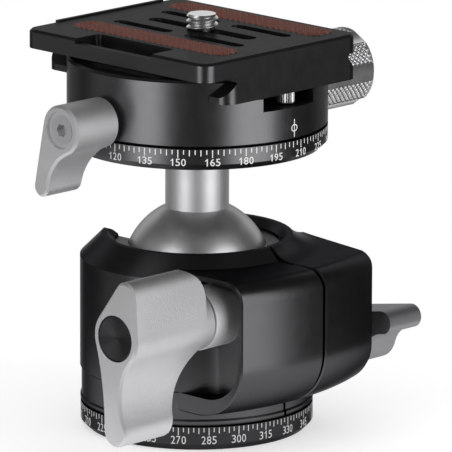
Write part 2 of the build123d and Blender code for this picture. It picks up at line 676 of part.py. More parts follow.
def main_knob():
    hub = (0, 0, KNOB_HUB_R)
    face = lobed_face([hub, KNOB_LOBE, hub, KNOB_TIP], [0, 0, KNOB_BACK_R, KNOB_WAIST_R])
    body = lever_solid(face, BOLT_X, BOLT_Z, -KNOB_FACE, KNOB_LENGTH, KNOB_EDGE)
    side = Pos(BOLT_X - KNOB_LENGTH, 0, BOLT_Z) * extrude(SIDE * knob_side_outline(), 2 * KNOB_LENGTH)
    body = body & side
    body += rod_y(KNOB_HUB_R, -KNOB_INNER - KNOB_SHOULDER - 1, -KNOB_INNER, BOLT_X, BOLT_Z)
    body -= rod_y(BOLT_R, -KNOB_FACE, 0, BOLT_X, BOLT_Z)
    seat_end = -KNOB_FACE + CAP_SEAT_DEPTH + BOLT_HEAD_H
    return body - rod_y(CAP_R, -KNOB_FACE - 1, seat_end, BOLT_X, BOLT_Z)


def knob_cap():
    """Turned cap with a shallow hollow cone in its face."""
    front, back = -KNOB_FACE, -KNOB_FACE + CAP_SEAT_DEPTH
    outline = [(0, front + 0.9), (CAP_R - 0.35, front + 0.1), (CAP_R, front + 0.35),
               (CAP_R, back), (0, back)]
    profile = make_face(Polyline([(r, 0, y) for r, y in outline], close=True))
    return Pos(BOLT_X, 0, BOLT_Z) * Rot(-90, 0, 0) * revolve(profile, Axis.Z)


def clamp_bolt():
    """Hexagon-headed bolt that draws the split housing together."""
    head_y = -KNOB_FACE + CAP_SEAT_DEPTH
    head = extrude(Plane(origin=(BOLT_X, head_y + BOLT_HEAD_H, BOLT_Z), **FRONT)
                   * RegularPolygon(BOLT_HEAD_R, 6), BOLT_HEAD_H)
    return head + rod_y(BOLT_R, head_y + BOLT_HEAD_H / 2, SLIT_Y + BOLT_REACH, BOLT_X, BOLT_Z)


keep("main_knob", main_knob())
keep("knob_cap", knob_cap())
keep("clamp_bolt", clamp_bolt())


# ---------------------------------------------------------------- levers of the two pan locks

def dish_cut(x, z, outer_y, way):
    """Shallow dish and stud bore in a lever's outer face; `way` is +1 when the head lies at +Y."""
    dish_end = outer_y + way * LEVER_DISH
    screw_end = dish_end + way * LEVER_HEAD_H
    dish = rod_y(LEVER_DISH_R, min(outer_y - way, dish_end), max(outer_y - way, dish_end), x, z)
    return dish + rod_y(LEVER_HEAD_R, min(outer_y, screw_end), max(outer_y, screw_end), x, z)


def lever_screw(x, z, outer_y, way):
    """Socket screw that holds a lever on its stud."""
    front = outer_y + way * (LEVER_DISH - 0.2)
    back = outer_y + way * (LEVER_DISH + LEVER_HEAD_H)
    body = rod_y(LEVER_HEAD_R, min(front, back), max(front, back), x, z)
    socket = extrude(Plane(origin=(x, front, z), **FRONT) * RegularPolygon(LEVER_HEX_R, 6), 1.6, both=True)
    return body - socket


def pan_lever():
    hub = (0, 0, PAN_HUB_R)
    face = lobed_face([hub, PAN_LOBE], [PAN_WAIST_R, 0])
    outer = PAN_INNER + PAN_LENGTH
    body = lever_solid(face, BOLT_X, PAN_Z, outer, -PAN_LENGTH, KNOB_EDGE)
    body -= dish_cut(BOLT_X, PAN_Z, outer, -1)
    return body - rod_y(STUD_R, PAN_INNER - 1, outer - LEVER_DISH - 1, BOLT_X, PAN_Z)


def upper_lever():
    hub = (0, 0, UP_HUB_R)
    face = lobed_face([hub, UP_LOBE], [0, UP_WAIST_R])
    outer = -UP_INNER - UP_LENGTH
    body = lever_solid(face, 0, UP_STUD_Z, outer, UP_LENGTH, KNOB_EDGE)
    taper = [(-UP_INNER - 0.2, UP_STUD_Z - UP_HUB_R + 0.8), (-UP_INNER - 2.4, UP_STUD_Z + UP_LOBE[1] - 3),
             (-UP_INNER + 1, UP_STUD_Z + UP_LOBE[1] - 3), (-UP_INNER + 1, UP_STUD_Z - UP_HUB_R + 0.8)]
    body -= prism_x(taper, -CLAMP_R, CLAMP_R)
    body -= dish_cut(0, UP_STUD_Z, outer, 1)
    return body - rod_y(STUD_R, outer + LEVER_DISH + 1, 0, 0, UP_STUD_Z)


def upper_stud():
    """Stud with a short dog point that bears on the brake shoe."""
    outer = -UP_INNER - UP_LENGTH + LEVER_DISH + LEVER_HEAD_H
    return (rod_y(STUD_R, outer, -BOSS_R - 5.5, 0, UP_STUD_Z)
            + rod_y(1.2, -BOSS_R - 6, -BOSS_R - 4.1, 0, UP_STUD_Z))


def sleeve(radius, bore, y0, y1, x, z):
    """Plain spacer sleeve along Y."""
    return rod_y(radius, y0, y1, x, z) - rod_y(bore, y0 - 1, y1 + 1, x, z)


keep("pan_lever", pan_lever())
keep("pan_stud", pan_stud_solid(0))
keep("pan_lever_screw", lever_screw(BOLT_X, PAN_Z, PAN_INNER + PAN_LENGTH, -1))
keep("pan_spacer", sleeve(SPACER_R, STUD_R, BLOCK_HALF_W + FACE_GAP, PAN_INNER, BOLT_X, PAN_Z))


# ---------------------------------------------------------------- ball, stem and upper scale ring

def ball_seat():
    """Low-friction cup under the ball, in the round bottom of the housing's bore."""
    shell = Sphere(BORE_R - 0.1) - Sphere(BALL_R + BALL_FIT)
    reach = BORE_R * 2
    cone = turned([(0, 0), (reach * sin(radians(CUP_HALF_ANGLE)), -reach * cos(radians(CUP_HALF_ANGLE))),
                   (0, -reach)])
    return Pos(0, 0, BALL_Z) * (shell & cone)


def centre_bolt():
    """Bolt along the stem's bore, with a domed lower end."""
    dome = disc(CARRIER_R, BALL_Z - CARRIER_DROP, BALL_Z) & (Pos(0, 0, BALL_Z) * Sphere(CARRIER_DROP))
    return dome + disc(CARRIER_R, BALL_Z - 1, SCALE_Z0 - 1.6)


def ball():
    body = Pos(0, 0, BALL_Z) * Sphere(BALL_R)
    body -= disc(NECK_R, BALL_Z + NECK_SOCKET, BALL_Z + BALL_R + 1)
    return body - disc(CARRIER_R + FREE_FIT, BALL_Z - CARRIER_DROP - 0.5, BALL_Z + NECK_SOCKET + 1)


def stem():
    """Bright neck: plain below, with a spindle that carries the upper scale ring."""
    body = disc(NECK_R, BALL_Z + NECK_SOCKET, SCALE_Z0) + disc(SPINDLE_R, SCALE_Z0 - 1, BOSS_Z1 - 0.6)
    body -= disc(CARRIER_R + FREE_FIT, BALL_Z, SCALE_Z0 - 1.0)
    return body - disc(DISC_SCREW_R, SCALE_Z0 + 1.0, BOSS_Z1)


def clamp_scale_ring():
    body = turned([(SPINDLE_R, SCALE_Z0), (CLAMP_R - BASE_LIP, SCALE_Z0), (CLAMP_R, SCALE_Z0 + BASE_LIP),
                   (CLAMP_R, SCALE_Z1), (BOSS_R, SCALE_Z1), (BOSS_R, BOSS_Z1), (SPINDLE_R, BOSS_Z1)])
    return body


def retaining_disc():
    """Flanged disc that holds the clamp down on the boss."""
    lower = SPINDLE_R - 0.2
    hollow = DISC_SCREW_R + 1.2
    return turned([(DISC_SCREW_R, BOSS_Z1), (lower, BOSS_Z1), (lower, WEB_Z1 + 0.15), (DISC_R, WEB_Z1 + 0.15),
                   (DISC_R, WEB_Z1 + 0.15 + DISC_H), (hollow, WEB_Z1 + 0.15 + DISC_H),
                   (DISC_SCREW_R, WEB_Z1 + 0.15 + DISC_H - 1.2)])


def disc_screw():
    top = WEB_Z1 + 0.15 + DISC_H
    low = SCALE_Z0 + 1.5
    head = DISC_SCREW_R + 1.2
    body = turned([(0, low), (DISC_SCREW_R, low), (DISC_SCREW_R, top - 1.2), (head, top), (0, top)])
    socket = Plane(origin=(0, 0, top - 1.3)) * RegularPolygon(1.3, 6)
    return body - extrude(socket, 2)


keep("ball_seat", ball_seat())
keep("centre_bolt", centre_bolt())
keep("ball", ball())
keep("stem", stem())
keep("clamp_scale_ring", clamp_scale_ring())
keep("clamp_slip_ring", ring(CLAMP_R - 4, BOSS_R + 0.5, SCALE_Z1, SCALE_Z1 + FACE_GAP - 0.05))
keep("retaining_disc", retaining_disc())
keep("disc_screw", disc_screw())


# ---------------------------------------------------------------- quick-release clamp

def jaw_side(side):
    """Space (y, z) that the plate's foot and throat take out of one jaw; side is +1 or -1."""
    foot = FOOT_HALF_W + JAW_FIT
    throat = THROAT_HALF_W + JAW_LAND
    across = -JAW_PART_Y / 2
    outline = [(across, CHANNEL_Z), (foot, CHANNEL_Z), (foot, TOE_Z), (throat, TOE_Z + foot - throat),
               (throat, PLATE_Z1), (across, PLATE_Z1)]
    return [(LAYOUT_Y + side * y, z) for y, z in outline]


def clamp_cylinder():
    edge = 0.5
    return turned([(0, CLAMP_Z0), (CLAMP_R - 0.3, CLAMP_Z0), (CLAMP_R, CLAMP_Z0 + 0.3),
                   (CLAMP_R, JAW_TOP_Z - edge), (CLAMP_R - edge, JAW_TOP_Z), (0, JAW_TOP_Z)])


def jaw_space(grow):
    """Room on the +Y side that belongs to the moving jaw."""
    reach = CLAMP_R + OVER
    lower = block(-reach, reach, JAW_PART_Y - grow, reach, JAW_BOTTOM_Z - grow, PLATE_Z1)
    return lower + block(-reach, reach, JAW_PART_Y / 2, reach, CHANNEL_Z, PLATE_Z1)


def brake_slot(grow):
    """Slot for the shoe between the stud and the boss."""
    half_w = SHOE_HALF_W + grow
    return block(-half_w, half_w, -BOSS_R - SHOE_T - grow, -BOSS_R + 2,
                 CLAMP_Z0 + 0.4 - grow, BOSS_Z1 - 0.2 + grow)


def clamp_body():
    body = clamp_cylinder() - jaw_space(JAW_GAP)
    body -= prism_x(jaw_side(-1), -CLAMP_R - OVER, CLAMP_R + OVER)
    body = body - disc(BOSS_R + FACE_GAP, CLAMP_Z0 - 1, WEB_Z0) - disc(SPINDLE_R, WEB_Z0 - 1, WEB_Z1 + 1)
    body -= disc(DISC_R + FACE_GAP, WEB_Z1, CHANNEL_Z + 1)
    for side in (-1, 1):
        near, far = sorted((side * POCKET_START, side * (CLAMP_R + OVER)))
        body -= block(near, far, -POCKET_HALF_W, POCKET_HALF_W, CHANNEL_Z - POCKET_DEPTH, CHANNEL_Z + 1)
        body -= rod_y(PIN_R + RUN_FIT, JAW_PART_Y - PIN_REACH - 0.5, CLAMP_R, side * PIN_X, JAW_SCREW_Z)
        body -= rod_y(SPRING_R + FREE_FIT, JAW_PART_Y - 4.0, CLAMP_R, side * SPRING_X, JAW_SCREW_Z)
    body = body - brake_slot(0.05) - rod_y(STUD_R + RUN_FIT, -CLAMP_R - 1, -BOSS_R - SHOE_T, 0, UP_STUD_Z)
    return body - rod_y(JAW_SCREW_R + RUN_FIT, JAW_SCREW_END - 0.4, CLAMP_R, 0, JAW_SCREW_Z)


def brake_shoe():
    return brake_slot(0) - disc(BOSS_R + 0.1, CLAMP_Z0 - 1, CHANNEL_Z)


def moving_jaw():
    body = clamp_cylinder() & jaw_space(0)
    body -= prism_x(jaw_side(1), -CLAMP_R - OVER, CLAMP_R + OVER)
    body -= rod_y(JAW_SCREW_R + FREE_FIT, 0, CLAMP_R + OVER, 0, JAW_SCREW_Z)
    for side in (-1, 1):
        body -= rod_y(PIN_R, 0, JAW_PART_Y + PIN_REACH, side * PIN_X, JAW_SCREW_Z)
    return body


def guide_pins():
    start, end = JAW_PART_Y - PIN_REACH, JAW_PART_Y + PIN_REACH
    return [rod_y(PIN_R, start, end, side * PIN_X, JAW_SCREW_Z) for side in (-1, 1)]


def jaw_springs():
    """Two short springs of square wire that push the jaw open."""
    path = Helix(pitch=SPRING_H / SPRING_COILS, height=SPRING_H, radius=SPRING_R - SPRING_WIRE / 2)
    section = Plane(origin=path @ 0, z_dir=path % 0) * Rectangle(SPRING_WIRE, SPRING_WIRE)
    coil = sweep(section, path=path)
    return [Pos(side * SPRING_X, JAW_PART_Y - 0.3, JAW_SCREW_Z) * Rot(90, 0, 0) * coil for side in (-1, 1)]


def jaw_knob():
    """Round knob with smooth flutes between the gripping lands."""
    start, end = JAW_KNOB_START, JAW_KNOB_END
    body = rod_y(JAW_KNOB_R, start, end, 0, JAW_SCREW_Z)
    body = chamfer(body.edges().filter_by(GeomType.CIRCLE), JAW_KNOB_EDGE)
    away = JAW_KNOB_R + FLUTE_R - FLUTE_DEPTH
    for i in range(JAW_KNOB_FLUTES):
        x, z = polar((0, JAW_SCREW_Z), away, radians((i + 0.5) * 360 / JAW_KNOB_FLUTES))
        body -= rod_y(FLUTE_R, start - 1, end + 1, x, z)
    body -= rod_y(JAW_SCREW_R, start - 1, end - JAW_KNOB_SEAT, 0, JAW_SCREW_Z)
    return body - rod_y(JAW_CAP_R, end - JAW_CAP_DEPTH, end + 1, 0, JAW_SCREW_Z)


def jaw_knob_cap():
    cap = rod_y(JAW_CAP_R, JAW_KNOB_END - JAW_CAP_DEPTH, JAW_KNOB_END - 0.3, 0, JAW_SCREW_Z)
    return cap - rod_y(1.4, JAW_KNOB_END - 1.4, JAW_KNOB_END, 0, JAW_SCREW_Z)


keep("clamp_body", clamp_body())
keep("brake_shoe", brake_shoe())
keep("upper_lever", upper_lever())
keep("upper_stud", upper_stud())
keep("upper_lever_screw", lever_screw(0, UP_STUD_Z, -UP_INNER - UP_LENGTH, 1))
keep("moving_jaw", moving_jaw())
keep("guide_pins", guide_pins())
keep("jaw_springs", jaw_springs())
keep("jaw_knob", jaw_knob())
keep("jaw_knob_cap", jaw_knob_cap())
keep("jaw_screw", rod_y(JAW_SCREW_R, JAW_SCREW_END, JAW_KNOB_END - JAW_KNOB_SEAT, 0, JAW_SCREW_Z))
keep("jaw_washer", sleeve(JAW_WASHER_R, JAW_SCREW_R, CLAMP_R + 0.05, JAW_KNOB_START, 0, JAW_SCREW_Z))


# ---------------------------------------------------------------- camera plate

def slot_cut(x, y, half_l, half_w, z0, z1):
    """Round-ended slot along X."""
    face = Plane(origin=(x, y, z0)) * SlotOverall(2 * half_l, 2 * half_w)
    return extrude(face, z1 - z0)


def pad_shape(y, grow, z0, z1):
    outline = RectangleRounded(2 * PAD_HALF_L + 2 * grow, PAD_W + 2 * grow, PAD_CORNER_R + grow)
    return extrude(Plane(origin=(PLATE_X, y, z0)) * outline, z1 - z0)


def plate_blank():
    """Flange with rounded corners over the dovetail foot."""
    width = PLATE_FAR_Y - PLATE_NEAR_Y
    middle = (PLATE_X, (PLATE_FAR_Y + PLATE_NEAR_Y) / 2, FLANGE_Z)
    outline = RectangleRounded(2 * PLATE_HALF_L, width, PLATE_CORNER_R)
    flange = extrude(Plane(origin=middle) * outline, FLANGE_H)
    flange = chamfer(flange.faces().sort_by(Axis.Z)[-1].edges(), PLATE_EDGE)
    half = [(FOOT_HALF_W, PLATE_Z0), (FOOT_HALF_W, TOE_Z),
            (THROAT_HALF_W, THROAT_Z), (THROAT_HALF_W, FLANGE_Z)]
    section = half + [(-y, z) for y, z in reversed(half)]
    shifted = [(LAYOUT_Y + y, z) for y, z in section]
    foot = prism_x(shifted, PLATE_X - PLATE_HALF_L, PLATE_X + PLATE_HALF_L)
    plan = RectangleRounded(2 * PLATE_HALF_L, 2 * FOOT_HALF_W, FOOT_CORNER_R)
    return flange + (foot & extrude(Plane(origin=(PLATE_X, LAYOUT_Y, PLATE_Z0)) * plan, PLATE_H - FLANGE_H))


def strap_cut():
    """Strap loop at the -Y edge: an opening with a slim bar left along the edge."""
    x0, x1 = PLATE_X + STRAP_X0, PLATE_X + STRAP_X1
    window = block(x0, x1, PLATE_NEAR_Y + STRAP_BAR_T, STRAP_IN_Y, FLANGE_Z - 1, PLATE_Z1 + 1)
    window = fillet(window.edges().filter_by(Axis.Z), STRAP_CORNER_R)
    low = PLATE_Z1 - STRAP_BAR_DROP
    relief = block(x0, x1, PLATE_NEAR_Y - 1, STRAP_IN_Y - STRAP_CORNER_R, low, PLATE_Z1 + 1)
    return window + relief


def quick_plate():
    below, above = PLATE_Z0 - 1, PLATE_Z1 + 1
    body = plate_blank() - strap_cut()
    for side in (-1, 1):
        row_y = LAYOUT_Y + side * SLOT_PITCH_Y
        for end in (-1, 1):
            middle = PLATE_X + end * SIDE_SLOT_CENTRE_X
            body -= slot_cut(middle, row_y, SIDE_SLOT_HALF_L, SLOT_HALF_W, below, above)
        pad_y = LAYOUT_Y + PAD_SHIFT + side * PAD_OFFSET
        body -= pad_shape(pad_y, PAD_FIT, PLATE_Z1 - PAD_SEAT, above)
        body -= disc(STOP_R, below, PLATE_Z0 - STOP_DROP + STOP_LENGTH, stop_x(side), LAYOUT_Y)
    body -= slot_cut(PLATE_X, LAYOUT_Y, LONG_SLOT_HALF_L, LONG_SLOT_HALF_W, below, above)
    room = CAMERA_HEAD_R + SCREW_ROOM
    pocket_half_l = LONG_SLOT_HALF_L - LONG_SLOT_HALF_W + room
    body -= slot_cut(PLATE_X, LAYOUT_Y, pocket_half_l, room, below, POCKET_TOP_Z)
    outer = PLATE_X - PLATE_HALF_L - LIP_PROUD
    return body + block(outer, outer + LIP_T, LIP_Y0, LIP_Y1, PLATE_Z1 - LIP_ROOT, PLATE_Z1 + LIP_RISE)


def camera_shank(grow):
    """Plain part of the camera screw that slides along the long slot."""
    radius = LONG_SLOT_HALF_W - RUN_FIT + grow
    return disc(radius, POCKET_TOP_Z - CLIP_T - 1, PLATE_Z1 + 1, PLATE_X, LAYOUT_Y)


def camera_screw():
    """1/4 inch screw with a wide slotted head under the plate."""
    x, y = PLATE_X, LAYOUT_Y
    head_z1 = POCKET_TOP_Z - CLIP_T - 2 * RUN_FIT
    head_z0 = head_z1 - CAMERA_HEAD_H
    tip_z = PLATE_Z1 + CAMERA_RISE
    profile = [(0, head_z0), (CAMERA_HEAD_R, head_z0), (CAMERA_HEAD_R, head_z1), (0, head_z1)]
    thread = [(0, PLATE_Z1 + RUN_FIT), (CAMERA_R, PLATE_Z1 + RUN_FIT), (CAMERA_R, tip_z - CAMERA_TIP),
              (CAMERA_R - CAMERA_TIP, tip_z), (0, tip_z)]
    body = Pos(x, y, 0) * (turned(profile) + turned(thread)) + camera_shank(0)
    coin_slot = block(x - CAMERA_HEAD_R, x + CAMERA_HEAD_R, y - 0.6, y + 0.6, head_z0, head_z0 + 1.3)
    return body - coin_slot


def screw_clip():
    """Washer round the screw's shank, between its head and the pocket's roof."""
    top = POCKET_TOP_Z - RUN_FIT
    return disc(CAMERA_HEAD_R - 0.2, top - CLIP_T, top, PLATE_X, LAYOUT_Y) - camera_shank(RUN_FIT)


def stop_x(side):
    """X of a stop screw; side is +1 or -1."""
    return PLATE_X + side * (PLATE_HALF_L - STOP_INSET)


def stop_screws():
    """Headed screws under the plate's ends that meet the pockets' walls before it slides out."""
    low = PLATE_Z0 - STOP_DROP
    return [disc(STOP_R, low, low + STOP_LENGTH, stop_x(side), LAYOUT_Y)
            + disc(STOP_HEAD_R, low, PLATE_Z0, stop_x(side), LAYOUT_Y) for side in (-1, 1)]


keep("quick_plate", quick_plate())
for name, side in (("pad_near", -1), ("pad_far", 1)):
    y = LAYOUT_Y + PAD_SHIFT + side * PAD_OFFSET
    keep(name, pad_shape(y, 0, PLATE_Z1 - PAD_SEAT, PLATE_Z1 + PAD_PROUD))
keep("camera_screw", camera_screw())
keep("screw_clip", screw_clip())
keep("stop_screws", stop_screws())


# ---------------------------------------------------------------- export

os.makedirs("parts", exist_ok=True)
for name, shape in parts.items():
    solids = shape if isinstance(shape, list) else [shape]
    export_step(Compound(children=solids) if len(solids) > 1 else solids[0], f"parts/{name}.step")
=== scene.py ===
import math

import bpy
import numpy as np
from mathutils import Matrix, Vector


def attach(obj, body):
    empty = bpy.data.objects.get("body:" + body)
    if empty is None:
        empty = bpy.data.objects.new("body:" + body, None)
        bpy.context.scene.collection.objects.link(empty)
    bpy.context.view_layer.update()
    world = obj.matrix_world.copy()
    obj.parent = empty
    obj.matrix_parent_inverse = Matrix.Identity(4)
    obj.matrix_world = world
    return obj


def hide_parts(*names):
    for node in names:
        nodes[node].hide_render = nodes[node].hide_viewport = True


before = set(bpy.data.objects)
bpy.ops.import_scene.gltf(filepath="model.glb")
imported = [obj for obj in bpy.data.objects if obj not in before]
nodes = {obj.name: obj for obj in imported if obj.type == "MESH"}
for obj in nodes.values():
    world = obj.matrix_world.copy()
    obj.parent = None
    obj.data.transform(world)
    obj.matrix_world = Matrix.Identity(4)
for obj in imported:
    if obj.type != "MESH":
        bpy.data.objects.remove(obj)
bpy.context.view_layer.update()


# ---------------------------------------------------------------- camera
# A long lens a little above the head, turned 44.5 degrees from the main knob's axis, so that
# the knob, the split block and the end face of the plate are all in sight.

azimuth, elevation, roll = (math.radians(a) for a in (44.50, 13.40, 0.195))
stand_off, focal_mm, sensor_mm = 1.339, 532.1, 36.0
middle = Vector((0.0, 0.0, 0.0405))
aim_right, aim_down = 0.005795, 0.000064

back = Vector((math.sin(azimuth) * math.cos(elevation),
               -math.cos(azimuth) * math.cos(elevation), math.sin(elevation)))
right = Vector((math.cos(azimuth), math.sin(azimuth), 0.0))
place = middle + back * stand_off
aim = middle + right * aim_right - back.cross(right) * aim_down
axis = (place - aim).normalized()
side = Vector((0.0, 0.0, 1.0)).cross(axis).normalized()
upward = axis.cross(side)
turned_side = side * math.cos(roll) + upward * math.sin(roll)
turned_up = upward * math.cos(roll) - side * math.sin(roll)

camera_data = bpy.data.cameras.new("camera")
camera_data.sensor_width = sensor_mm
camera_data.lens = focal_mm
camera_data.clip_end = 50.0
camera = bpy.data.objects.new("camera", camera_data)
bpy.context.scene.collection.objects.link(camera)
camera.matrix_world = (Matrix.Translation(place)
                       @ Matrix((turned_side, turned_up, axis)).transposed().to_4x4())
bpy.context.scene.camera = camera


# ---------------------------------------------------------------- studio
# A small white table in front of a white backdrop. Two tall soft boxes stand about 45 degrees
# to either side of the lens and reach below the table, a weak one stands at the far left, and
# the room on the lens side is dark, so that black metal stays black between them.

bpy.context.scene.view_settings.view_transform = "Standard"
lamp_top, lamp_distance = 0.62, 0.75


def soft_box(name, around, low, width, radiance):
    """Upright rectangular lamp that faces the head.

    `around` is its bearing in degrees from the lens, to the right, and `low` its lower edge."""
    bearing = azimuth + math.radians(around)
    outwards = Vector((math.sin(bearing), -math.cos(bearing), 0.0))
    tall = lamp_top - low
    lamp = bpy.data.lights.new(name, "AREA")
    lamp.shape = "RECTANGLE"
    lamp.size, lamp.size_y = width, tall
    lamp.energy = radiance * math.pi * width * tall
    box = bpy.data.objects.new(name, lamp)
    bpy.context.scene.collection.objects.link(box)
    box.location = outwards * lamp_distance + Vector((0.0, 0.0, (low + lamp_top) / 2))
    box.rotation_euler = (-outwards).to_track_quat("-Z", "Y").to_euler()
    box.visible_camera = False


soft_box("soft_box_left", around=-45, low=-0.45, width=0.42, radiance=2.0)
soft_box("soft_box_right", around=49, low=-0.45, width=0.56, radiance=2.1)
soft_box("soft_box_side", around=-92, low=-0.35, width=0.40, radiance=0.20)

dark_room, soft_fill, backdrop = 0.05, 0.62, 1.0
sweep_from, sweep_to = 0.50, 0.92


def white_room():
    """World with three levels of light.

    The camera and transmitted rays see the white backdrop. Mirrored rays see it behind the
    head and a dark room on the lens side; the step between them is smooth in the cosine of
    the angle to the backdrop, from sweep_from to sweep_to. All other rays get the soft fill."""
    world = bpy.data.worlds.new("studio")
    world.use_nodes = True
    tree = world.node_tree
    tree.nodes.clear()
    path = tree.nodes.new("ShaderNodeLightPath")
    towards = tree.nodes.new("ShaderNodeTexCoord")
    behind = tree.nodes.new("ShaderNodeVectorMath")
    behind.operation = "DOT_PRODUCT"
    behind.inputs[1].default_value = (-math.sin(azimuth), math.cos(azimuth), 0.0)
    sweep = tree.nodes.new("ShaderNodeMapRange")
    sweep.interpolation_type = "SMOOTHSTEP"
    sweep.inputs["From Min"].default_value = sweep_from
    sweep.inputs["From Max"].default_value = sweep_to
    sweep.inputs["To Min"].default_value = dark_room
    sweep.inputs["To Max"].default_value = backdrop
    mirrored = tree.nodes.new("ShaderNodeMix")
    mirrored.inputs["A"].default_value = soft_fill
    straight = tree.nodes.new("ShaderNodeMath")
    straight.operation = "MAXIMUM"
    level = tree.nodes.new("ShaderNodeMix")
    level.inputs["B"].default_value = backdrop
    shade = tree.nodes.new("ShaderNodeBackground")
    shade.inputs["Color"].default_value = (1.0, 1.0, 1.0, 1.0)
    out = tree.nodes.new("ShaderNodeOutputWorld")
    tree.links.new(towards.outputs["Generated"], behind.inputs[0])
    tree.links.new(behind.outputs["Value"], sweep.inputs["Value"])
    tree.links.new(path.outputs["Is Glossy Ray"], mirrored.inputs["Factor"])
    tree.links.new(sweep.outputs["Result"], mirrored.inputs["B"])
    tree.links.new(path.outputs["Is Camera Ray"], straight.inputs[0])
    tree.links.new(path.outputs["Is Transmission Ray"], straight.inputs[1])
    tree.links.new(straight.outputs["Value"], level.inputs["Factor"])
    tree.links.new(mirrored.outputs["Result"], level.inputs["A"])
    tree.links.new(level.outputs["Result"], shade.inputs["Strength"])
    tree.links.new(shade.outputs["Background"], out.inputs["Surface"])
    return world


def table_paint(white, lift):
    """Matt white that is lifted by `lift` for camera, transmitted and mirrored rays."""
    material = bpy.data.materials.new("white_table")
    material.use_nodes = True
    tree = material.node_tree
    tree.nodes.clear()
    path = tree.nodes.new("ShaderNodeLightPath")
    matt = tree.nodes.new("ShaderNodeBsdfDiffuse")
    matt.inputs["Color"].default_value = (white, white, white, 1.0)
    straight = tree.nodes.new("ShaderNodeMath")
    straight.operation = "MAXIMUM"
    straight_or_mirrored = tree.nodes.new("ShaderNodeMath")
    straight_or_mirrored.operation = "MAXIMUM"
    gain = tree.nodes.new("ShaderNodeMapRange")
    gain.inputs["To Max"].default_value = lift
    glow = tree.nodes.new("ShaderNodeEmission")
    both = tree.nodes.new("ShaderNodeAddShader")
    out = tree.nodes.new("ShaderNodeOutputMaterial")
    tree.links.new(path.outputs["Is Camera Ray"], straight.inputs[0])
    tree.links.new(path.outputs["Is Transmission Ray"], straight.inputs[1])
    tree.links.new(straight.outputs["Value"], straight_or_mirrored.inputs[0])
    tree.links.new(path.outputs["Is Glossy Ray"], straight_or_mirrored.inputs[1])
    tree.links.new(straight_or_mirrored.outputs["Value"], gain.inputs["Value"])
    tree.links.new(gain.outputs["Result"], glow.inputs["Strength"])
    tree.links.new(matt.outputs["BSDF"], both.inputs[0])
    tree.links.new(glow.outputs["Emission"], both.inputs[1])
    tree.links.new(both.outputs["Shader"], out.inputs["Surface"])
    return material


bpy.context.scene.world = white_room()

table_r, table_corners = 0.075, 96
table_rim = [(table_r * math.cos(t), table_r * math.sin(t), 0.0)
             for t in np.linspace(0, 2 * np.pi, table_corners, endpoint=False)]
table_mesh = bpy.data.meshes.new("table")
table_mesh.from_pydata(table_rim, [], [tuple(range(table_corners))])
table_mesh.materials.append(table_paint(white=0.80, lift=0.48))
table = bpy.data.objects.new("table", table_mesh)
bpy.context.scene.collection.objects.link(table)


# ---------------------------------------------------------------- base scale ring
# Turned aluminium ring that the whole head stands on, black anodised and darker still from
# painted shade, with a laser-marked degree scale; three countersunk screws hold it under the
# bearing spigot.


def noise(tree, coordinate, scale, detail=2.0):
    """Output of a noise texture read at `coordinate`."""
    texture = tree.nodes.new("ShaderNodeTexNoise")
    texture.inputs["Scale"].default_value = scale
    texture.inputs["Detail"].default_value = detail
    tree.links.new(coordinate, texture.inputs["Vector"])
    return texture.outputs["Fac"]


def blend(tree, factor, first, second):
    """Output of a blend between two colours."""
    mix = tree.nodes.new("ShaderNodeMix")
    mix.data_type = "RGBA"
    mix.inputs["A"].default_value = (*first, 1.0)
    mix.inputs["B"].default_value = (*second, 1.0)
    tree.links.new(factor, mix.inputs["Factor"])
    return mix.outputs["Result"]


